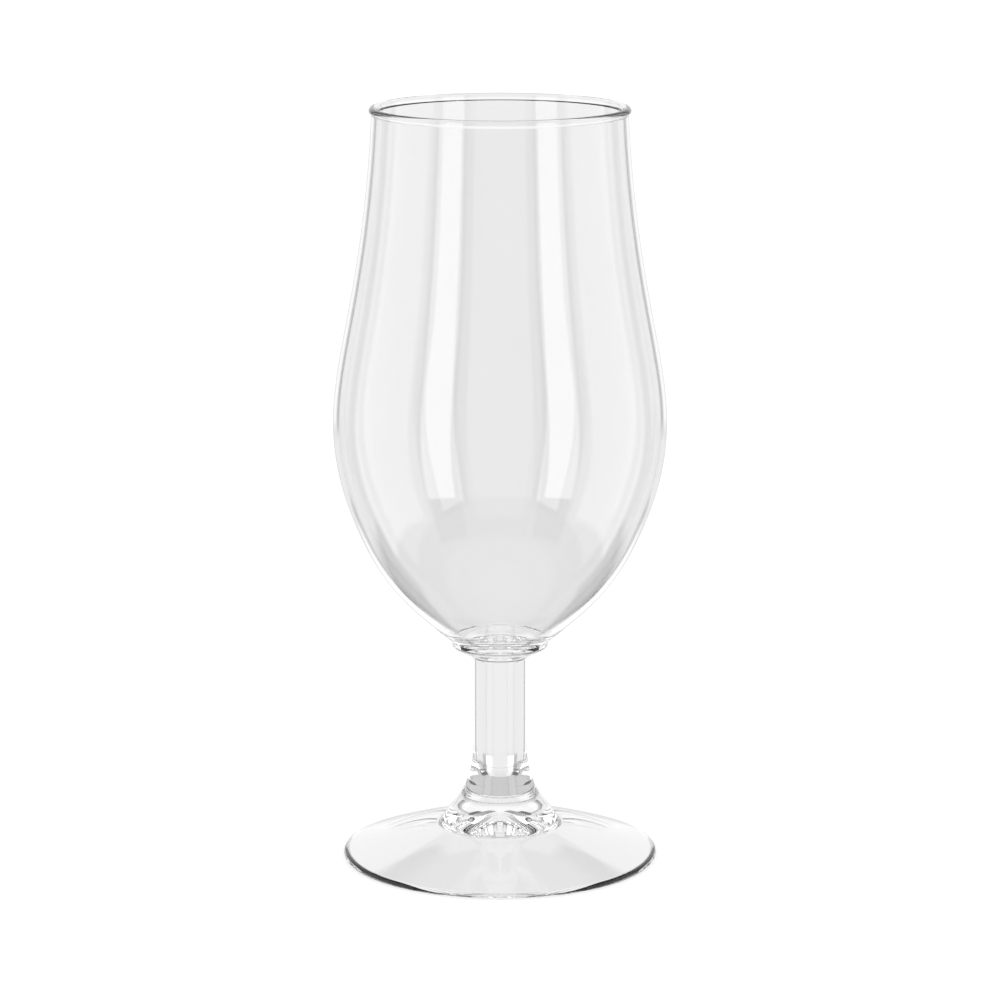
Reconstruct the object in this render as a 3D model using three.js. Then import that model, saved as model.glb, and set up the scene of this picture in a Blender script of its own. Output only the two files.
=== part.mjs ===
// A stemmed beer glass: a tulip bowl with a beaded rim, a collar (merese), a short solid stem and a flared foot.
// Four pieces of clear glass on one upright axis, each welded flat onto the one below.
// Millimetres, +Z up. The glass stands on z = 0 with its axis on the Z axis.
import * as THREE from 'three';

// Foot: a thin domed disc, hollow below, whose top turns up at a knee and sweeps from there into the stem
const footDiameter = 75;
const footHeight = 26;
const footEdge = 1.5; // thickness of the rounded edge
const footEdgeSlope = 20; // degrees that the disc's top rises at its edge
const kneeDiameter = 30.6; // where the disc turns up into the sweep
const kneeHeight = 7.8;
const kneeSlope = 11; // degrees that the disc's top rises at the knee
const flareRadius = 21.35; // radius of the sweep to the stem
const flareTurn = 40; // degrees of that sweep
const standWidth = 1; // flat of the ring that the foot stands on
const hollowSlope = 19; // degrees that the hollow rises from the ring
const hollowHeight = 10.2;

// How far each curve of the foot's outline runs along its end's direction
const discReach = 7.4;
const kneeReach = 1.5;
const sweepReach = 2.3;
const hollowReach = 13.9;
const hollowTopReach = 4.5;

// Stem: a solid rod
const stemDiameter = 13;
const stemLength = 22.5;

// Merese: the button of glass between the stem and the bowl
const mereseDiameter = 22.9;
const mereseHeight = 4.2;
const mereseEdge = 0.8; // upright band below the bowl
const mereseNeckReach = 1; // how far the underside leaves the stem upright
const mereseEdgeReach = 1.2; // how far it runs upright into the band

// Bowl: heights are from its flat base, angles are in degrees
const bowlHeight = 127.3;
const wall = 1.3;
const rimDiameter = 61; // over the bead
const rimLip = 0.6; // how far the bead stands out from the wall
const neckLean = 3; // the wall's lean from upright under the bead
const bellyDiameter = 78.7; // widest
const bellyHeight = 52.7;
const hipDiameter = 66.3; // where the belly turns in to the base
const hipHeight = 26;
const hipLean = 24; // the wall's lean from upright at the hip
const baseRise = 40; // the wall's rise from the level at the base
const floorThickness = 1.3; // glass under the flat of the bowl's floor
const floorDiameter = 15; // flat of the floor
const floorTurn = 0.85; // where the inside leaves the wall for the floor, from 0 at the hip to 1 at the base

// How far each curve of the bowl's outline runs along its end's direction
const neckReach = 40.3;
const bellyReachUp = 17;
const bellyReachDown = 7.6;
const hipReachUp = 12;
const hipReachDown = 14;
const baseReach = 12.6;

// Fineness of the round surfaces
const facets = 48;
const curveSteps = 6;

const { degToRad } = THREE.MathUtils;
const footRadius = footDiameter / 2;
const stemRadius = stemDiameter / 2;
const mereseRadius = mereseDiameter / 2;

// A point of an outline: its radius from the axis, and its height.
const point = (radius, height) => new THREE.Vector2(radius, height);

// The point that lies some way from another, at an angle in degrees from the level, outward and up.
function along(from, angle, distance) {
  const step = point(Math.cos(degToRad(angle)), Math.sin(degToRad(angle)));
  return from.clone().addScaledVector(step, distance);
}

// Turns an outline about the axis. It starts and ends on the axis and has the glass on its left.
function turned(outline) {
  return new THREE.LatheGeometry(outline, facets).rotateX(Math.PI / 2);
}

// The points of curves that follow one another, each shared point once.
function joined(curves) {
  const points = curves.flatMap((curve) => curve.getPoints(curveSteps).slice(0, -1));
  return [...points, curves.at(-1).getPoint(1)];
}

function clearGlass() {
  return new THREE.MeshStandardMaterial({
    color: 0xf2f5f4,
    roughness: 0.02,
    metalness: 0,
    transparent: true,
    opacity: 0.3,
  });
}

function piece(name, geometry, height) {
  const mesh = new THREE.Mesh(geometry, clearGlass());
  mesh.name = name;
  mesh.position.z = height;
  return mesh;
}

// The foot's underside: one curve, level at its top on the axis, down to the flat ring.
function footHollow() {
  const top = point(0, hollowHeight);
  const ring = point(footRadius - footEdge / 2 - standWidth, 0);
  const leave = along(top, 0, hollowTopReach);
  const arrive = along(ring, 180 - hollowSlope, hollowReach);
  return new THREE.CubicBezierCurve(top, leave, arrive, ring);
}

// The foot's top, from the round edge to the stem: the disc, the turn at the knee and the sweep.
function footTop() {
  const half = footEdge / 2;
  const edgeEnd = degToRad(90 - footEdgeSlope);
  const edge = new THREE.EllipseCurve(footRadius - half, half, half, half, -Math.PI / 2, edgeEnd);
  const sweepStart = degToRad(180 + flareTurn);
  const centre = point(stemRadius + flareRadius, footHeight);
  const sweep = new THREE.EllipseCurve(centre.x, centre.y, flareRadius, flareRadius, sweepStart, Math.PI, true);
  const edgeTop = edge.getPoint(1);
  const sweepFoot = sweep.getPoint(0);
  const knee = point(kneeDiameter / 2, kneeHeight);
  const inward = 180 - kneeSlope;
  const disc = new THREE.CubicBezierCurve(
    edgeTop,
    along(edgeTop, 180 - footEdgeSlope, discReach),
    along(knee, inward, -discReach),
    knee,
  );
  const turn = new THREE.CubicBezierCurve(
    knee,
    along(knee, inward, kneeReach),
    along(sweepFoot, flareTurn - 90, sweepReach),
    sweepFoot,
  );
  return joined([edge, disc, turn, sweep]);
}

function foot() {
  const underside = footHollow().getPoints(curveSteps);
  return turned([...underside, ...footTop(), point(0, footHeight)]);
}

function stem() {
  const outline = [point(0, 0), point(stemRadius, 0), point(stemRadius, stemLength), point(0, stemLength)];
  return turned(outline);
}

function merese() {
  const edgeFoot = mereseHeight - mereseEdge;
  const outline = new THREE.Path();
  outline.moveTo(0, 0);
  outline.lineTo(stemRadius, 0);
  outline.bezierCurveTo(
    stemRadius, mereseNeckReach,
    mereseRadius, edgeFoot - mereseEdgeReach,
    mereseRadius, edgeFoot,
  );
  outline.lineTo(mereseRadius, mereseHeight);
  outline.lineTo(0, mereseHeight);
  return turned(outline.getPoints(curveSteps));
}

// The bead's round section fills the wall and the lip, flush with the wall inside.
const beadRadius = (wall + rimLip) / 2;
const beadCentre = point(rimDiameter / 2 - beadRadius, bowlHeight - beadRadius);

// The three curves of the bowl's outside, from the base up to the bead.
function bowlSide() {
  const neckOut = wall - beadRadius;
  const neckDrop = Math.sqrt(beadRadius ** 2 - neckOut ** 2);
  const base = point(mereseRadius, 0);
  const hip = point(hipDiameter / 2, hipHeight);
  const belly = point(bellyDiameter / 2, bellyHeight);
  const neck = point(beadCentre.x + neckOut, beadCentre.y - neckDrop);
  const hipUp = 90 - hipLean;
  const neckDown = neckLean - 90;
  return [
    new THREE.CubicBezierCurve(base, along(base, baseRise, baseReach), along(hip, hipUp, -hipReachDown), hip),
    new THREE.CubicBezierCurve(hip, along(hip, hipUp, hipReachUp), along(belly, -90, bellyReachDown), belly),
    new THREE.CubicBezierCurve(belly, along(belly, 90, bellyReachUp), along(neck, neckDown, neckReach), neck),
  ];
}

// The point of the bowl's inside that faces a point of its outside, one wall away.
function insideOf(curve, t) {
  const up = curve.getTangent(t);
  const inward = point(-up.y, up.x);
  return curve.getPoint(t).addScaledVector(inward, wall);
}

// The bowl's inside, from the bead down to its floor: the wall's thickness in, and then a round turn to the flat.
function bowlInside(side) {
  const [low, middle, high] = side;
  const inside = [];
  for (const curve of [high, middle]) {
    for (let step = 0; step < curveSteps; step += 1) {
      inside.push(insideOf(curve, 1 - step / curveSteps));
    }
  }
  for (let step = 0; step < curveSteps; step += 1) {
    inside.push(insideOf(low, 1 - (floorTurn * step) / curveSteps));
  }
  const turn = insideOf(low, 1 - floorTurn);
  const wallUp = low.getTangent(1 - floorTurn);
  const corner = turn.clone().addScaledVector(wallUp, (floorThickness - turn.y) / wallUp.y);
  const flat = point(floorDiameter / 2, floorThickness);
  const round = new THREE.QuadraticBezierCurve(turn, corner, flat);
  return [...inside, ...round.getPoints(curveSteps), point(0, floorThickness)];
}

function bowl() {
  const side = bowlSide();
  const neckAngle = Math.acos((wall - beadRadius) / beadRadius);
  const bead = new THREE.EllipseCurve(beadCentre.x, beadCentre.y, beadRadius, beadRadius, -neckAngle, Math.PI);
  const rim = bead.getPoints(2 * curveSteps).slice(1);
  return turned([point(0, 0), ...joined(side), ...rim, ...bowlInside(side)]);
}

const glass = new THREE.Group();
let height = 0;
glass.add(piece('foot', foot(), height));
height += footHeight;
glass.add(piece('stem', stem(), height));
height += stemLength;
glass.add(piece('merese', merese(), height));
height += mereseHeight;
glass.add(piece('bowl', bowl(), height));

export default glass;
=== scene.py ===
"""A stemmed beer glass: tulip bowl, merese, stem and foot, all of clear glass welded hot on one axis.

Metres, +Z up. The glass stands on z = 0 with its axis on the Z axis, and the camera looks along +Y.
"""

import logging
import math
from dataclasses import dataclass
from enum import Enum

import bpy
import numpy as np
import numpy.typing as npt
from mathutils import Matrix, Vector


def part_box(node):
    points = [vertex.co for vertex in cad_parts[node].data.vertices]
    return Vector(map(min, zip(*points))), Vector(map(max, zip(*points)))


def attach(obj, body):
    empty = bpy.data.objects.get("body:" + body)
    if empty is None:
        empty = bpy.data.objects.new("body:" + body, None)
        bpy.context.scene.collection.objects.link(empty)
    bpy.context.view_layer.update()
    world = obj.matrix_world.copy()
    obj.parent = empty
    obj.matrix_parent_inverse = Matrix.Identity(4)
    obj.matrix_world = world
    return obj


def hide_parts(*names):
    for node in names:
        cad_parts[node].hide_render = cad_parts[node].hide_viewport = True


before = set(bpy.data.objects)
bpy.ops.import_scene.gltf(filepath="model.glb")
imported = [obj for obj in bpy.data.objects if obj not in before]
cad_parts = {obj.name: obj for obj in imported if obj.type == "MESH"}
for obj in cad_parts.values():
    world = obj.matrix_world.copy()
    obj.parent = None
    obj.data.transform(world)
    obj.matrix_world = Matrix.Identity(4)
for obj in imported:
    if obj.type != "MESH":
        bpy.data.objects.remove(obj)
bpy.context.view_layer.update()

LOG = logging.getLogger("beer_glass")
BODY = "root"
BOUNCES = 16  # how often light may turn inside the glass; what is trapped for longer stays dark
SAME_POINT = 1e-8  # metres within which two points of an outline are one
MILLIMETRES = 1000  # to the metre
WHITE = (1.0, 1.0, 1.0, 1.0)

# Stretches that each kind of line in an outline is cut into
FLAT_STEPS = 10
ROUND_STEPS = 32
CURVE_STEPS = 52
SWEEP_STEPS = 90

Floats = npt.NDArray[np.float64]
Ints = npt.NDArray[np.int32]
Colour = tuple[float, float, float, float]


class Face(Enum):
    """The two kinds of face on a piece, by material slot."""

    POLISHED = 0
    WELDED = 1


class Making(Enum):
    """How a piece of the glass was made, which shows in how its skin waves."""

    BLOWN = "blown"
    DRAWN = "drawn"


class MixKind(Enum):
    """What a Mix node mixes, by where its first value and its result lie among the node's sockets."""

    FLOAT = (2, 0)
    RGBA = (6, 2)


# Outlines: points of radius and height


def eased(steps: int) -> Floats:
    """Parameters from 0 to 1, close together at both ends.

    The formula is half of one minus the cosine of a half turn shared out evenly.

    Args:
        steps: How many stretches to make.

    Returns:
        The parameters, one more than the steps.
    """
    return (1 - np.cos(np.linspace(0, math.pi, steps + 1))) / 2


def line(start: Floats, end: Floats, steps: int) -> Floats:
    """A straight stretch: start plus the parameter times the way to the end.

    Args:
        start: First point.
        end: Last point.
        steps: How many stretches to make.

    Returns:
        The points, both ends included.
    """
    return start + eased(steps)[:, None] * (end - start)


def arc(centre: Floats, radius: float, begin: float, finish: float, steps: int) -> Floats:
    """A round stretch: the centre plus the radius turned from one angle to another.

    Args:
        centre: Centre of the circle.
        radius: Its radius.
        begin: First angle in degrees from the level, outward and up.
        finish: Last angle in degrees.
        steps: How many stretches to make.

    Returns:
        The points, both ends included.
    """
    angle = np.radians(begin + eased(steps) * (finish - begin))
    return centre + radius * np.column_stack([np.cos(angle), np.sin(angle)])


def heading(angle: float) -> Floats:
    """The unit step at an angle in degrees from the level, outward and up."""
    return np.array([math.cos(math.radians(angle)), math.sin(math.radians(angle))])


@dataclass(frozen=True)
class Cubic:
    """A curve between two points that leaves each along its own handle.

    Attributes:
        start: First point.
        leave: Handle of the first point.
        arrive: Handle of the last point.
        end: Last point.
    """

    start: Floats
    leave: Floats
    arrive: Floats
    end: Floats

    def points(self, t: Floats) -> Floats:
        """Points of the curve: the four points weighted by the cubic Bernstein terms.

        Args:
            t: Parameters from 0 to 1.

        Returns:
            One point for each parameter.
        """
        t = t[:, None]
        s = 1 - t
        return s**3 * self.start + 3 * s**2 * t * self.leave + 3 * s * t**2 * self.arrive + t**3 * self.end

    def headings(self, t: Floats) -> Floats:
        """Unit directions along the curve: its derivative, divided by its length.

        Args:
            t: Parameters from 0 to 1.

        Returns:
            One direction for each parameter.
        """
        t = t[:, None]
        s = 1 - t
        rate = s**2 * (self.leave - self.start) + 2 * s * t * (self.arrive - self.leave)
        rate = rate + t**2 * (self.end - self.arrive)
        return rate / np.linalg.norm(rate, axis=1, keepdims=True)

    def offset(self, t: Floats, distance: float) -> Floats:
        """Points beside the curve: each point plus the distance along its left-hand normal.

        Args:
            t: Parameters from 0 to 1.
            distance: How far to the left of the way along the curve.

        Returns:
            One point for each parameter.
        """
        along = self.headings(t)
        return self.points(t) + distance * np.column_stack([-along[:, 1], along[:, 0]])


def corner(start: Floats, tip: Floats, end: Floats, steps: int) -> Floats:
    """A rounded corner: the quadratic curve that heads for its tip and leaves from it.

    Args:
        start: First point, on the way to the tip.
        tip: Where the two ways would meet.
        end: Last point, on the way from the tip.
        steps: How many stretches to make.

    Returns:
        The points, both ends included.
    """
    t = eased(steps)[:, None]
    return (1 - t) ** 2 * start + 2 * (1 - t) * t * tip + t**2 * end


def chain(*stretches: Floats) -> Floats:
    """Joins stretches end to end and drops each point that repeats the one before it.

    Args:
        stretches: Point lists, in order.

    Returns:
        One list of points.
    """
    points = np.vstack(stretches)
    moved = np.linalg.norm(np.diff(points, axis=0), axis=1) > SAME_POINT
    return points[np.concatenate([[True], moved])]


# Node trees


@dataclass(frozen=True)
class NodeSheet:
    """Adds and joins the nodes of one tree.

    Attributes:
        tree: The node tree.
    """

    tree: bpy.types.NodeTree

    def add(self, kind: str, **settings: object) -> bpy.types.Node:
        """Adds a node and sets its properties.

        Args:
            kind: Blender's name of the node type.
            settings: Properties of the node by name.

        Returns:
            The new node.
        """
        node = self.tree.nodes.new(kind)
        for name, value in settings.items():
            setattr(node, name, value)
        return node

    def feed(self, socket: bpy.types.NodeSocket, value: object) -> None:
        """Joins a socket to another, or sets it to a plain value.

        Args:
            socket: The input socket.
            value: An output socket, a number or a tuple.
        """
        if isinstance(value, bpy.types.NodeSocket):
            self.tree.links.new(value, socket)
        else:
            socket.default_value = value

    def math(self, operation: str, *values: object) -> bpy.types.NodeSocket:
        """Adds a Math node.

        Args:
            operation: Blender's name of the operation.
            values: Its inputs, each a socket or a number.

        Returns:
            The result's socket.
        """
        node = self.add("ShaderNodeMath", operation=operation)
        for socket, value in zip(node.inputs, values):
            self.feed(socket, value)
        return node.outputs[0]

    def mix(self, kind: MixKind, factor: object, first: object, second: object) -> bpy.types.NodeSocket:
        """Adds a mix of two numbers or of two colours.

        Args:
            kind: What is mixed.
            factor: 0 for the first, 1 for the second.
            first: A socket, a number or a colour.
            second: A socket, a number or a colour.

        Returns:
            The result's socket.
        """
        node = self.add("ShaderNodeMix", data_type=kind.name)
        place, result = kind.value
        sockets = (node.inputs[0], node.inputs[place], node.inputs[place + 1])
        for socket, value in zip(sockets, (factor, first, second)):
            self.feed(socket, value)
        return node.outputs[result]

    def smooth(self, value: object, low: object, high: object) -> bpy.types.NodeSocket:
        """Adds a smooth step from 0 at low to 1 at high.

        Args:
            value: What is tested.
            low: Where the step starts.
            high: Where the step ends.

        Returns:
            The step's socket.
        """
        node = self.add("ShaderNodeMapRange", interpolation_type="SMOOTHSTEP")
        self.feed(node.inputs["Value"], value)
        self.feed(node.inputs["From Min"], low)
        self.feed(node.inputs["From Max"], high)
        return node.outputs["Result"]


def clean_sheet(owner: bpy.types.Material | bpy.types.World) -> NodeSheet:
    """Turns on the nodes of a material or a world and clears them away.

    Args:
        owner: The material or the world.

    Returns:
        Its empty sheet.
    """
    owner.use_nodes = True
    owner.node_tree.nodes.clear()
    return NodeSheet(owner.node_tree)


def new_group(name: str, inputs: dict[str, str], outputs: dict[str, str]) -> bpy.types.NodeTree:
    """Makes an empty shader node group with named sockets.

    Args:
        name: Name of the group.
        inputs: Socket type of each input by name.
        outputs: Socket type of each output by name.

    Returns:
        The group's tree.
    """
    tree = bpy.data.node_groups.new(name, "ShaderNodeTree")
    for socket, kind in inputs.items():
        tree.interface.new_socket(socket, in_out="INPUT", socket_type=kind)
    for socket, kind in outputs.items():
        tree.interface.new_socket(socket, in_out="OUTPUT", socket_type=kind)
    return tree


# Finishes


def skin_group(detail: float = 2.0, roughness: float = 0.4) -> bpy.types.NodeTree:
    """The skin of worked glass: slow waves in its height, its gloss and its tone, from one noise.

    Args:
        detail: How many finer layers the noise has.
        roughness: How strong each is beside the one before it.

    Returns:
        The group's tree.
    """
    inputs = {
        "Position": "NodeSocketVector",
        "Waves": "NodeSocketFloat",
        "Haze": "NodeSocketFloat",
        "Pale": "NodeSocketColor",
        "Deep": "NodeSocketColor",
    }
    outputs = {"Tone": "NodeSocketColor", "Gloss": "NodeSocketFloat", "Height": "NodeSocketFloat"}
    tree = new_group("worked_glass_skin", inputs, outputs)
    sheet = NodeSheet(tree)
    given = sheet.add("NodeGroupInput")
    result = sheet.add("NodeGroupOutput")
    noise = sheet.add("ShaderNodeTexNoise")
    sheet.feed(noise.inputs["Vector"], given.outputs["Position"])
    sheet.feed(noise.inputs["Scale"], given.outputs["Waves"])
    sheet.feed(noise.inputs["Detail"], detail)
    sheet.feed(noise.inputs["Roughness"], roughness)
    wave = noise.outputs[0]
    tone = sheet.mix(MixKind.RGBA, wave, given.outputs["Pale"], given.outputs["Deep"])
    sheet.feed(result.inputs["Tone"], tone)
    sheet.feed(result.inputs["Gloss"], sheet.math("MULTIPLY", wave, given.outputs["Haze"]))
    sheet.feed(result.inputs["Height"], wave)
    return tree


@dataclass(frozen=True)
class ClearGlass:
    """Colourless fire-polished glass.

    Attributes:
        making: How the piece was made, for the material's name.
        skin: The group that waves its skin.
        ior: Refractive index of soda-lime glass.
        waves: Waves to the metre in its skin.
        relief: Height of those waves in metres.
        haze: Most roughness that its polish leaves.
        pale: Its tone where it is clearest.
        deep: Its tone where it is least clear.
        edge_on: Painted shade, the dark tone the glass takes where it is seen edge on, which draws a dark
            outline along its silhouette.
        grazing: Where that tone starts and where it is full, from 0 face on to 1 edge on.
    """

    making: Making
    skin: bpy.types.NodeTree
    ior: float = 1.5
    waves: float = 40.0
    relief: float = 2e-6
    haze: float = 0.004
    pale: Colour = (0.96, 0.96, 0.96, 1.0)
    deep: Colour = (0.94, 0.94, 0.94, 1.0)
    # painted shade: the dark tone of the outline drawn where the glass is seen edge on
    edge_on: Colour = (0.3, 0.3, 0.3, 1.0)
    grazing: tuple[float, float] = (0.86, 0.94)

    def material(self) -> bpy.types.Material:
        """Makes the material.

        Returns:
            A Principled glass whose gloss and normal come from the skin, and whose tone comes from the skin
            but turns to a painted dark outline where the glass is seen edge on.
        """
        material = bpy.data.materials.new(f"clear_glass_{self.making.value}")
        sheet = clean_sheet(material)
        place = sheet.add("ShaderNodeTexCoord")
        skin = sheet.add("ShaderNodeGroup", node_tree=self.skin)
        sheet.feed(skin.inputs["Position"], place.outputs["Object"])
        sheet.feed(skin.inputs["Waves"], self.waves)
        sheet.feed(skin.inputs["Haze"], self.haze)
        sheet.feed(skin.inputs["Pale"], self.pale)
        sheet.feed(skin.inputs["Deep"], self.deep)
        bump = sheet.add("ShaderNodeBump")
        sheet.feed(bump.inputs["Distance"], self.relief)
        sheet.feed(bump.inputs["Height"], skin.outputs["Height"])
        # Painted shade: where the surface is seen edge on, the tone turns dark, painting a dark outline along
        # the glass's silhouette.
        weight = sheet.add("ShaderNodeLayerWeight")
        edge = sheet.smooth(weight.outputs["Facing"], *self.grazing)
        tone = sheet.mix(MixKind.RGBA, edge, skin.outputs["Tone"], self.edge_on)
        glass = sheet.add("ShaderNodeBsdfPrincipled")
        sheet.feed(glass.inputs["Metallic"], 0.0)
        sheet.feed(glass.inputs["IOR"], self.ior)
        sheet.feed(glass.inputs["Transmission Weight"], 1.0)
        sheet.feed(glass.inputs["Base Color"], tone)
        sheet.feed(glass.inputs["Roughness"], skin.outputs["Gloss"])
        sheet.feed(glass.inputs["Normal"], bump.outputs["Normal"])
        result = sheet.add("ShaderNodeOutputMaterial")
        sheet.feed(result.inputs["Surface"], glass.outputs["BSDF"])
        return material


@dataclass(frozen=True)
class WeldedGlass:
    """The faces where two pieces are fused: glass on both sides, so nothing of them shows.

    Attributes:
        name: Name of the material.
    """

    name: str = "welded_glass"

    def material(self) -> bpy.types.Material:
        """Makes the material.

        Returns:
            A Principled surface that lets everything through.
        """
        material = bpy.data.materials.new(self.name)
        sheet = clean_sheet(material)
        surface = sheet.add("ShaderNodeBsdfPrincipled")
        sheet.feed(surface.inputs["Alpha"], 0.0)
        result = sheet.add("ShaderNodeOutputMaterial")
        sheet.feed(result.inputs["Surface"], surface.outputs["BSDF"])
        return material


# Pieces


@dataclass(frozen=True)
class Outline:
    """Half of a piece's section, from its lowest point on the axis to its highest, glass on the left.

    Attributes:
        points: Radius and height of each point; only the first and the last are on the axis.
        welded_below: Whether the first stretch is a weld.
        welded_above: Whether the last stretch is a weld.
    """

    points: Floats
    welded_below: bool
    welded_above: bool

    def faces(self) -> Ints:
        """The kind of face of each stretch, as material slots.

        Returns:
            One slot for each stretch of the outline.
        """
        slots = np.full(len(self.points) - 1, Face.POLISHED.value, dtype=np.int32)
        if self.welded_below:
            slots[0] = Face.WELDED.value
        if self.welded_above:
            slots[-1] = Face.WELDED.value
        return slots


@dataclass
class TurnedPiece:
    """A piece of glass that is round about the axis.

    Attributes:
        node: The CAD node that it stands for, which also names it.
        making: How it was made.
        facets: Steps around the axis.
    """

    node: str
    making: Making
    facets: int = 256

    def __post_init__(self) -> None:
        """Reads the piece's place from the frame."""
        low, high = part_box(self.node)
        self.radius: float = max(high.x, high.y)
        self.bottom: float = low.z
        self.top: float = high.z

    def outline(self) -> Outline:
        """The half section that is turned."""
        raise NotImplementedError

    def mesh(self) -> bpy.types.Mesh:
        """Turns the outline about the axis.

        A point at radius r and height z goes to r times the cosine and sine of the turn, and z. Each ring is
        joined to the next by quads, and the two ends on the axis close with triangles.

        Returns:
            The mesh, closed, with its faces pointing out.
        """
        outline = self.outline()
        rings = outline.points[1:-1]
        around = np.linspace(0, 2 * math.pi, self.facets, endpoint=False)
        x = rings[:, :1] * np.cos(around)
        y = rings[:, :1] * np.sin(around)
        z = np.repeat(rings[:, 1:], self.facets, axis=1)
        poles = np.array([[0, 0, outline.points[0, 1]], [0, 0, outline.points[-1, 1]]])
        vertices = np.vstack([np.stack([x, y, z], axis=-1).reshape(-1, 3), poles])
        index = np.arange(rings.shape[0] * self.facets).reshape(rings.shape[0], self.facets)
        after = np.roll(index, -1, axis=1)
        quads = np.stack([index[:-1], after[:-1], after[1:], index[1:]], axis=-1).reshape(-1, 4)
        low, high = index.size, index.size + 1
        below = np.stack([np.full(self.facets, low), after[0], index[0]], axis=-1)
        above = np.stack([np.full(self.facets, high), index[-1], after[-1]], axis=-1)
        mesh = bpy.data.meshes.new(self.node)
        mesh.from_pydata(vertices.tolist(), [], below.tolist() + quads.tolist() + above.tolist())
        slots = np.repeat(outline.faces(), self.facets)
        mesh.polygons.foreach_set("material_index", slots)
        mesh.polygons.foreach_set("use_smooth", slots == Face.POLISHED.value)
        mesh.update()
        return mesh

    def build(self, finishes: dict[Making, bpy.types.Material], weld: bpy.types.Material) -> bpy.types.Object:
        """Makes the piece, dresses it and sets it in the place of its node.

        Args:
            finishes: The glass for each way of making.
            weld: The finish of the fused faces.

        Returns:
            The finished piece.
        """
        mesh = self.mesh()
        mesh.materials.append(finishes[self.making])
        mesh.materials.append(weld)
        piece = bpy.data.objects.new(f"glass_{self.node}", mesh)
        bpy.context.scene.collection.objects.link(piece)
        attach(piece, BODY)
        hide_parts(self.node)
        tall = MILLIMETRES * (self.top - self.bottom)
        LOG.info("%s: %d faces, %.1f mm tall", piece.name, len(mesh.polygons), tall)
        return piece


@dataclass
class Foot(TurnedPiece):
    """The round foot: a thin domed disc that turns up at a knee and sweeps into the stem, hollow below.

    Attributes:
        edge: Thickness of its rounded edge.
        edge_slope: Rise of the disc's top at the edge, in degrees.
        knee: Radius at which the disc turns up into the sweep.
        knee_height: Height of the disc's top there.
        knee_slope: Rise of the disc's top there, in degrees.
        disc_reach: How far the disc's top runs along each end's direction.
        knee_reach: How far the turn runs on along the disc.
        sweep_reach: How far the turn runs along the end of the sweep.
        flare: Radius of the sweep to the stem.
        flare_turn: Degrees of that sweep.
        stand: Width of the flat ring that it stands on, with its half of the turn into the hollow.
        stand_turn: How far that turn reaches either way.
        hollow_slope: Rise of the hollow from the ring, in degrees.
        hollow_height: Height of the hollow's top over the ring.
        hollow_reach: How far the hollow runs on along that rise.
        top_reach: How far it runs level from its top.
    """

    node: str = "foot"
    making: Making = Making.DRAWN
    edge: float = 0.0015
    edge_slope: float = 20.0
    knee: float = 0.0153
    knee_height: float = 0.0078
    knee_slope: float = 11.0
    disc_reach: float = 0.0074
    knee_reach: float = 0.0015
    sweep_reach: float = 0.0023
    flare: float = 0.02135
    flare_turn: float = 40.0
    stand: float = 0.001
    stand_turn: float = 0.0006
    hollow_slope: float = 19.0
    hollow_height: float = 0.0102
    hollow_reach: float = 0.0139
    top_reach: float = 0.0045

    def underside(self) -> Floats:
        """The underside: a hollow from its top on the axis down to the ring, and the round turn onto it.

        Returns:
            The points, from the axis out.
        """
        down = heading(-self.hollow_slope)
        out = heading(0)
        ring = np.array([self.radius - self.edge / 2 - self.stand, self.bottom])
        brim = ring - self.stand_turn * down
        top = np.array([0.0, self.bottom + self.hollow_height])
        hollow = Cubic(top, top + self.top_reach * out, ring - self.hollow_reach * down, brim)
        turn = corner(brim, ring, ring + self.stand_turn * out, ROUND_STEPS)
        return chain(hollow.points(eased(SWEEP_STEPS)), turn)

    def topside(self) -> Floats:
        """The round edge, the disc's top, the turn at the knee and the sweep up to the stem.

        Returns:
            The points, from the ring up.
        """
        half = self.edge / 2
        edge_centre = np.array([self.radius - half, self.bottom + half])
        edge = arc(edge_centre, half, -90, 90 - self.edge_slope, ROUND_STEPS)
        stem_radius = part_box("stem")[1].x
        centre = np.array([stem_radius + self.flare, self.top])
        sweep = arc(centre, self.flare, 180 + self.flare_turn, 180, SWEEP_STEPS)
        knee = np.array([self.knee, self.bottom + self.knee_height])
        inward = heading(180 - self.knee_slope)
        leave = edge[-1] + self.disc_reach * heading(180 - self.edge_slope)
        disc = Cubic(edge[-1], leave, knee - self.disc_reach * inward, knee)
        fall = heading(self.flare_turn - 90)
        bend = Cubic(knee, knee + self.knee_reach * inward, sweep[0] + self.sweep_reach * fall, sweep[0])
        return chain(edge, disc.points(eased(CURVE_STEPS)), bend.points(eased(CURVE_STEPS)), sweep)

    def outline(self) -> Outline:
        """The underside, the standing ring, the top and the weld to the stem.

        Returns:
            The half section.
        """
        underside = self.underside()
        topside = self.topside()
        ring = line(underside[-1], topside[0], FLAT_STEPS)
        weld = np.array([[0.0, self.top]])
        return Outline(chain(underside, ring, topside, weld), False, True)


@dataclass
class Stem(TurnedPiece):
    """The solid round stem."""

    node: str = "stem"
    making: Making = Making.DRAWN

    def outline(self) -> Outline:
        """The weld to the foot, the upright side and the weld to the merese.

        Returns:
            The half section.
        """
        low = np.array([self.radius, self.bottom])
        high = np.array([self.radius, self.top])
        below = np.array([[0.0, self.bottom]])
        above = np.array([[0.0, self.top]])
        return Outline(chain(below, line(low, high, SWEEP_STEPS), above), True, True)


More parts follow.
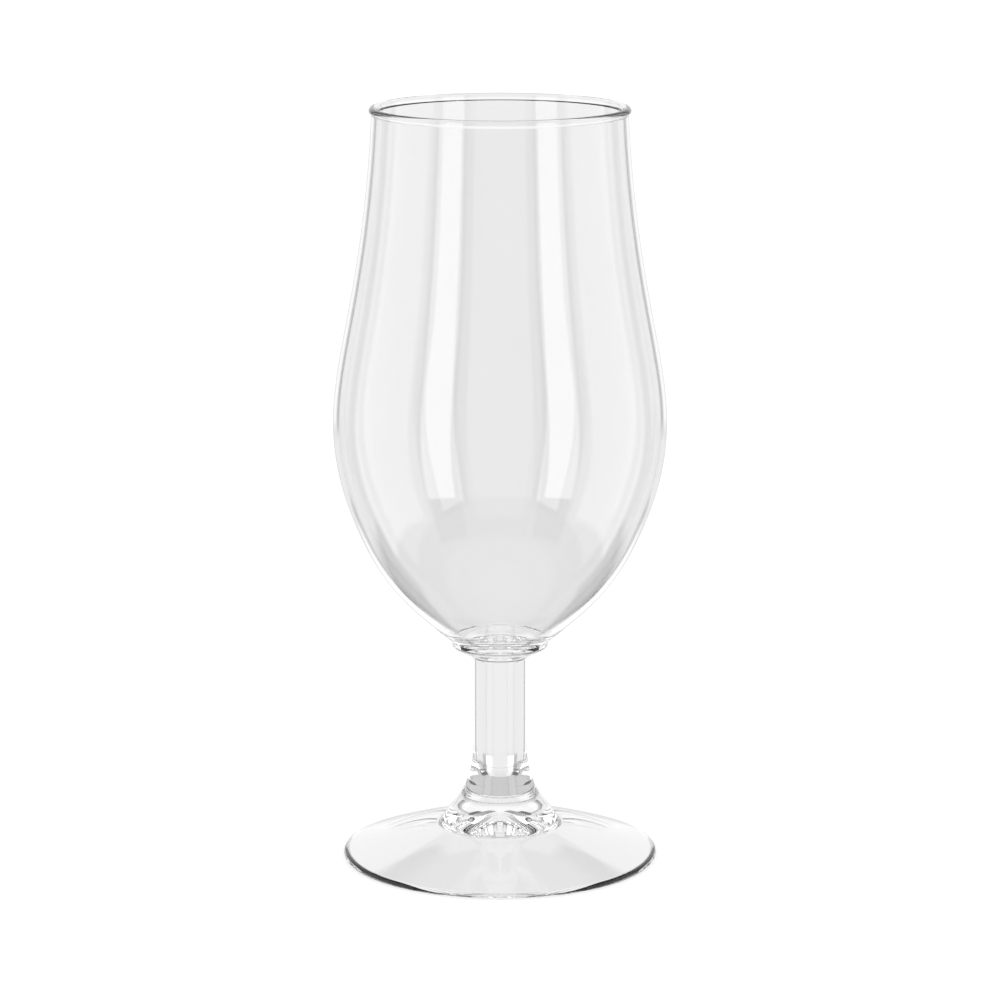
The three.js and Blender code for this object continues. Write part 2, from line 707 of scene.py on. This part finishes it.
@dataclass
class Merese(TurnedPiece):
    """The button of glass between the stem and the bowl.

    Attributes:
        band: Height of its upright edge.
        neck_reach: How far the underside leaves the stem upright.
        band_reach: How far it runs upright into the band.
    """

    node: str = "merese"
    making: Making = Making.DRAWN
    band: float = 0.0008
    neck_reach: float = 0.001
    band_reach: float = 0.0012

    def outline(self) -> Outline:
        """The weld to the stem, the swelling underside, the upright band and the weld to the bowl.

        Returns:
            The half section.
        """
        stem_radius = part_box("stem")[1].x
        neck = np.array([stem_radius, self.bottom])
        band_low = np.array([self.radius, self.top - self.band])
        band_high = np.array([self.radius, self.top])
        swell = Cubic(neck, neck + [0, self.neck_reach], band_low - [0, self.band_reach], band_low)
        below = np.array([[0.0, self.bottom]])
        above = np.array([[0.0, self.top]])
        side = chain(swell.points(eased(SWEEP_STEPS)), line(band_low, band_high, ROUND_STEPS))
        return Outline(chain(below, side, above), True, True)


@dataclass
class Bowl(TurnedPiece):
    """The blown tulip bowl. Heights are from its flat base, angles in degrees.

    Attributes:
        wall: Thickness of the wall.
        rim: Diameter over the bead.
        lip: How far the bead stands out from the wall.
        neck_lean: The wall's lean from upright under the bead.
        belly_height: Height of the widest place.
        hip: Diameter where the belly turns in to the base.
        hip_height: Height of that place.
        hip_lean: The wall's lean from upright there.
        base_rise: The wall's rise from the level at the base.
        floor_thickness: Glass under the flat of the floor.
        floor_flat: Diameter of that flat.
        floor_turn: Where the inside leaves the wall for the floor, from 0 at the hip to 1 at the base.
        base_reach: How far the lowest curve leaves the base along its rise.
        hip_reach_down: How far that curve runs along the hip's lean.
        hip_reach_up: How far the middle curve leaves the hip along its lean.
        belly_reach_down: How far that curve runs upright into the belly.
        belly_reach_up: How far the highest curve leaves the belly upright.
        neck_reach: How far that curve runs along the neck's lean.
    """

    node: str = "bowl"
    making: Making = Making.BLOWN
    wall: float = 0.0013
    rim: float = 0.061
    lip: float = 0.0006
    neck_lean: float = 3.0
    belly_height: float = 0.0527
    hip: float = 0.0663
    hip_height: float = 0.026
    hip_lean: float = 24.0
    base_rise: float = 40.0
    floor_thickness: float = 0.0013
    floor_flat: float = 0.015
    floor_turn: float = 0.85
    base_reach: float = 0.0126
    hip_reach_down: float = 0.014
    hip_reach_up: float = 0.012
    belly_reach_down: float = 0.0076
    belly_reach_up: float = 0.017
    neck_reach: float = 0.0403

    @property
    def bead(self) -> float:
        """Radius of the bead's round section, which fills the wall and the lip."""
        return (self.wall + self.lip) / 2

    def side(self) -> list[Cubic]:
        """The three curves of the outside, from the base up to the bead.

        Returns:
            The curves in order.
        """
        out = self.wall - self.bead
        drop = math.sqrt(self.bead**2 - out**2)
        base = np.array([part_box("merese")[1].x, self.bottom])
        hip = np.array([self.hip / 2, self.bottom + self.hip_height])
        belly = np.array([self.radius, self.bottom + self.belly_height])
        neck = np.array([self.rim / 2 - self.bead + out, self.top - self.bead - drop])
        base_up = heading(self.base_rise)
        hip_up = heading(90 - self.hip_lean)
        up = heading(90)
        neck_up = heading(90 + self.neck_lean)
        return [
            Cubic(base, base + self.base_reach * base_up, hip - self.hip_reach_down * hip_up, hip),
            Cubic(hip, hip + self.hip_reach_up * hip_up, belly - self.belly_reach_down * up, belly),
            Cubic(belly, belly + self.belly_reach_up * up, neck - self.neck_reach * neck_up, neck),
        ]

    def inside(self, side: list[Cubic]) -> Floats:
        """The inside from the bead down: one wall in from the outside, then a round turn to the flat floor.

        Args:
            side: The curves of the outside.

        Returns:
            The points, down to the axis.
        """
        low, middle, high = side
        falling = 1 - eased(CURVE_STEPS)
        wall = chain(
            high.offset(falling, self.wall),
            middle.offset(falling, self.wall),
            low.offset(1 - self.floor_turn * eased(CURVE_STEPS), self.wall),
        )
        slope = low.headings(np.array([1 - self.floor_turn]))[0]
        floor = self.bottom + self.floor_thickness
        tip = wall[-1] + slope * (floor - wall[-1, 1]) / slope[1]
        flat = np.array([self.floor_flat / 2, floor])
        turn = corner(wall[-1], tip, flat, ROUND_STEPS)
        return chain(wall, turn, line(flat, np.array([0.0, floor]), FLAT_STEPS))

    def outline(self) -> Outline:
        """The weld to the merese, the outside, the bead and the inside.

        Returns:
            The half section.
        """
        side = self.side()
        outside = chain(*[curve.points(eased(CURVE_STEPS)) for curve in side])
        centre = np.array([self.rim / 2 - self.bead, self.top - self.bead])
        neck_angle = math.degrees(math.acos((self.wall - self.bead) / self.bead))
        rim = arc(centre, self.bead, -neck_angle, 180, ROUND_STEPS)
        below = np.array([[0.0, self.bottom]])
        return Outline(chain(below, outside, rim, self.inside(side)), True, False)


# Stage


@dataclass(frozen=True)
class LightPanel:
    """A card of the light tent, mirrored left and right, by the directions that it fills.

    Attributes:
        inner: Azimuth of its near edge, in degrees from the camera's side.
        outer: Azimuth of its far edge.
        low: Elevation of its lower edge in degrees.
        high: Elevation of its upper edge.
        soft: Half width of its blurred edges in degrees.
        level: Its brightness, where 1 is white.
    """

    inner: float
    outer: float
    low: float
    high: float
    soft: float
    level: float


@dataclass
class Studio:
    """The light tent around the glass. The camera sees it white, and the glass sees its cards.

    Attributes:
        cards: The cards, each laid over the ones before it.
        cloth: Brightness of the tent's cloth between the cards.
        sky: Brightness that lights the floor.
    """

    cards: tuple[LightPanel, ...] = (
        LightPanel(-9, 189, 51, 99, 3.0, 1.0),  # ceiling
        LightPanel(-9, 23.5, -32, 41, 0.5, 0.94),  # fill beside the camera
        LightPanel(30, 58.5, -50, 35, 0.5, 0.1),  # black frame of the strip light
        LightPanel(34, 56, -32, 33, 0.5, 1.9),  # strip light
        LightPanel(66, 118.5, -39.5, 33, 1.5, 1.3),  # side light
        LightPanel(128.5, 134, -34, 49.5, 1.2, 0.98),  # rear light, outer half
        LightPanel(134.5, 149.5, -28, 52, 1.2, 0.86),  # rear light, inner half
        LightPanel(149.5, 152, -10, 20.5, 1.2, 0.25),  # dark post beside the backdrop
        LightPanel(155.5, 189, -11, 60, 1.2, 1.02),  # backdrop
        LightPanel(128, 189, -19, -11, 1.2, 0.86),  # its foot
        LightPanel(156.5, 189, -99, -19.5, 1.2, 1.2),  # table behind the glass
        LightPanel(168, 189, -46, -3.5, 3.0, 0.9),  # duller stripe along its middle
        LightPanel(-9, 189, -99, -50, 2.0, 0.6),  # table under the glass
        LightPanel(119, 157, -50, -31, 2.0, 0.05),  # dark skirt behind it
        LightPanel(144, 168, 35, 46, 1.5, 0.15),  # black upper corners of the backdrop
        LightPanel(138, 176, 43, 58, 1.5, 0.35),  # dark header over them
    )
    cloth: float = 0.56
    sky: float = 0.5

    def card_group(self) -> bpy.types.NodeTree:
        """A card laid over the light behind it: a smooth window in azimuth times one in elevation mixes both.

        Returns:
            The group's tree.
        """
        names = ("Behind", "Azimuth", "Elevation", "Inner", "Outer", "Low", "High", "Soft", "Level")
        inputs = {name: "NodeSocketFloat" for name in names}
        tree = new_group("light_card", inputs, {"Light": "NodeSocketFloat"})
        sheet = NodeSheet(tree)
        given = sheet.add("NodeGroupInput").outputs
        result = sheet.add("NodeGroupOutput")

        def window(value: str, low: str, high: str) -> bpy.types.NodeSocket:
            """A mask that is 1 between two edges and falls smoothly to 0 past each.

            Args:
                value: Name of the input that is tested.
                low: Name of the input that holds the lower edge.
                high: Name of the input that holds the upper edge.

            Returns:
                The mask's socket.
            """
            rise = sheet.smooth(
                given[value],
                sheet.math("SUBTRACT", given[low], given["Soft"]),
                sheet.math("ADD", given[low], given["Soft"]),
            )
            fall = sheet.smooth(
                given[value],
                sheet.math("ADD", given[high], given["Soft"]),
                sheet.math("SUBTRACT", given[high], given["Soft"]),
            )
            return sheet.math("MULTIPLY", rise, fall)

        across = window("Azimuth", "Inner", "Outer")
        mask = sheet.math("MULTIPLY", across, window("Elevation", "Low", "High"))
        light = sheet.mix(MixKind.FLOAT, mask, given["Behind"], given["Level"])
        sheet.feed(result.inputs["Light"], light)
        return tree

    def build(self) -> bpy.types.World:
        """Makes the world.

        What the camera sees straight is white. What it sees in the glass, mirrored or through it, is the tent
        with its cards. The floor is lit evenly.

        Returns:
            The world.
        """
        world = bpy.data.worlds.new("studio")
        bpy.context.scene.world = world
        sheet = clean_sheet(world)
        part = sheet.add("ShaderNodeSeparateXYZ")
        sheet.feed(part.inputs[0], sheet.add("ShaderNodeTexCoord").outputs["Generated"])
        front = sheet.math("MULTIPLY", part.outputs["Y"], -1.0)
        around = sheet.math("ARCTAN2", part.outputs["X"], front)
        azimuth = sheet.math("DEGREES", sheet.math("ABSOLUTE", around))
        elevation = sheet.math("DEGREES", sheet.math("ARCSINE", part.outputs["Z"]))
        group = self.card_group()
        light: object = self.cloth
        for card in self.cards:
            node = sheet.add("ShaderNodeGroup", node_tree=group)
            sheet.feed(node.inputs["Behind"], light)
            sheet.feed(node.inputs["Azimuth"], azimuth)
            sheet.feed(node.inputs["Elevation"], elevation)
            for name, value in vars(card).items():
                sheet.feed(node.inputs[name.title()], value)
            light = node.outputs["Light"]
        path = sheet.add("ShaderNodeLightPath")
        scattered = sheet.math("GREATER_THAN", path.outputs["Diffuse Depth"], 0.0)
        tent = sheet.mix(MixKind.FLOAT, path.outputs["Is Camera Ray"], light, 1.0)
        background = sheet.add("ShaderNodeBackground")
        sheet.feed(background.inputs["Color"], WHITE)
        sheet.feed(background.inputs["Strength"], sheet.mix(MixKind.FLOAT, scattered, tent, self.sky))
        result = sheet.add("ShaderNodeOutputWorld")
        sheet.feed(result.inputs["Surface"], background.outputs["Background"])
        return world


@dataclass
class StudioFloor:
    """The pale floor that the glass stands on.

    Attributes:
        sky: Brightness that lights it.
        radius: How far it reaches.
        drop: Air between it and the foot.
        pale: How much of the light on it comes back.
        white: Brightness that it comes to where nothing shades it.
        rings: Rings of its disc.
        facets: Steps around its disc.
    """

    sky: float
    radius: float = 6.0
    drop: float = 0.0001
    pale: float = 0.8
    white: float = 1.02
    rings: int = 12
    facets: int = 96

    def material(self) -> bpy.types.Material:
        """Makes the floor's material.

        Its own glow makes up what the sky's light on it lacks to be white, so that the glass's shadow stays.
        In the glass it is not there, because the light tent goes on below it.

        Returns:
            The material.
        """
        material = bpy.data.materials.new("studio_floor")
        sheet = clean_sheet(material)
        matt = sheet.add("ShaderNodeBsdfDiffuse")
        sheet.feed(matt.inputs["Color"], (self.pale, self.pale, self.pale, 1.0))
        glow = sheet.add("ShaderNodeEmission")
        sheet.feed(glow.inputs["Strength"], self.white - self.pale * self.sky)
        both = sheet.add("ShaderNodeAddShader")
        sheet.feed(both.inputs[0], matt.outputs[0])
        sheet.feed(both.inputs[1], glow.outputs[0])
        clear = sheet.add("ShaderNodeBsdfTransparent")
        path = sheet.add("ShaderNodeLightPath")
        in_glass = sheet.math("MAXIMUM", path.outputs["Is Glossy Ray"], path.outputs["Is Transmission Ray"])
        shown = sheet.add("ShaderNodeMixShader")
        sheet.feed(shown.inputs[0], in_glass)
        sheet.feed(shown.inputs[1], both.outputs[0])
        sheet.feed(shown.inputs[2], clear.outputs[0])
        result = sheet.add("ShaderNodeOutputMaterial")
        sheet.feed(result.inputs["Surface"], shown.outputs[0])
        return material

    def build(self) -> bpy.types.Object:
        """Makes the floor: a flat disc of rings about the axis.

        Returns:
            The floor.
        """
        around = np.linspace(0, 2 * math.pi, self.facets, endpoint=False)
        reach = np.linspace(0, self.radius, self.rings + 1)[1:, None]
        x, y = reach * np.cos(around), reach * np.sin(around)
        rim = np.stack([x, y, np.full_like(x, -self.drop)], axis=-1).reshape(-1, 3)
        vertices = np.vstack([rim, [[0, 0, -self.drop]]])
        index = np.arange(self.rings * self.facets).reshape(self.rings, self.facets)
        after = np.roll(index, -1, axis=1)
        quads = np.stack([index[:-1], index[1:], after[1:], after[:-1]], axis=-1).reshape(-1, 4)
        middle = np.stack([np.full(self.facets, index.size), index[0], after[0]], axis=-1)
        mesh = bpy.data.meshes.new("floor")
        mesh.from_pydata(vertices.tolist(), [], quads.tolist() + middle.tolist())
        mesh.materials.append(self.material())
        floor = bpy.data.objects.new("floor", mesh)
        bpy.context.scene.collection.objects.link(floor)
        return floor


@dataclass
class PhotoCamera:
    """The camera at the photograph's viewing angle.

    Attributes:
        distance: Level distance from the axis.
        height: Height over the floor.
        tilt: How far it looks down, in degrees.
        lens: Focal length in millimetres.
        sensor: Width of the sensor in millimetres.
        near: Nearest distance that it shows.
        far: Farthest distance that it shows.
    """

    distance: float = 0.9432
    height: float = 0.2840
    tilt: float = 11.812
    lens: float = 146.7
    sensor: float = 36.0
    near: float = 0.01
    far: float = 50.0

    def build(self) -> bpy.types.Object:
        """Makes the camera and sets it as the scene's.

        Returns:
            The camera.
        """
        data = bpy.data.cameras.new("photo_camera")
        data.sensor_width = self.sensor
        data.lens = self.lens
        data.clip_start = self.near
        data.clip_end = self.far
        camera = bpy.data.objects.new("photo_camera", data)
        camera.location = (0.0, -self.distance, self.height)
        camera.rotation_euler = (math.radians(90 - self.tilt), 0.0, 0.0)
        bpy.context.scene.collection.objects.link(camera)
        bpy.context.scene.camera = camera
        return camera


def main() -> None:
    """Builds the stage and the four pieces of the glass, in order."""
    logging.basicConfig(level=logging.INFO, format="%(name)s %(message)s")
    scene = bpy.context.scene
    scene.view_settings.view_transform = "Standard"
    scene.cycles.max_bounces = BOUNCES
    scene.cycles.glossy_bounces = BOUNCES
    scene.cycles.transmission_bounces = BOUNCES
    scene.cycles.transparent_max_bounces = BOUNCES
    PhotoCamera().build()
    studio = Studio()
    studio.build()
    StudioFloor(studio.sky).build()
    skin = skin_group()
    finishes = {
        Making.BLOWN: ClearGlass(Making.BLOWN, skin).material(),
        Making.DRAWN: ClearGlass(Making.DRAWN, skin, waves=25.0).material(),
    }
    weld = WeldedGlass().material()
    for piece in (Foot(), Stem(), Merese(), Bowl()):
        piece.build(finishes, weld)


if __name__ == "__main__":
    main()
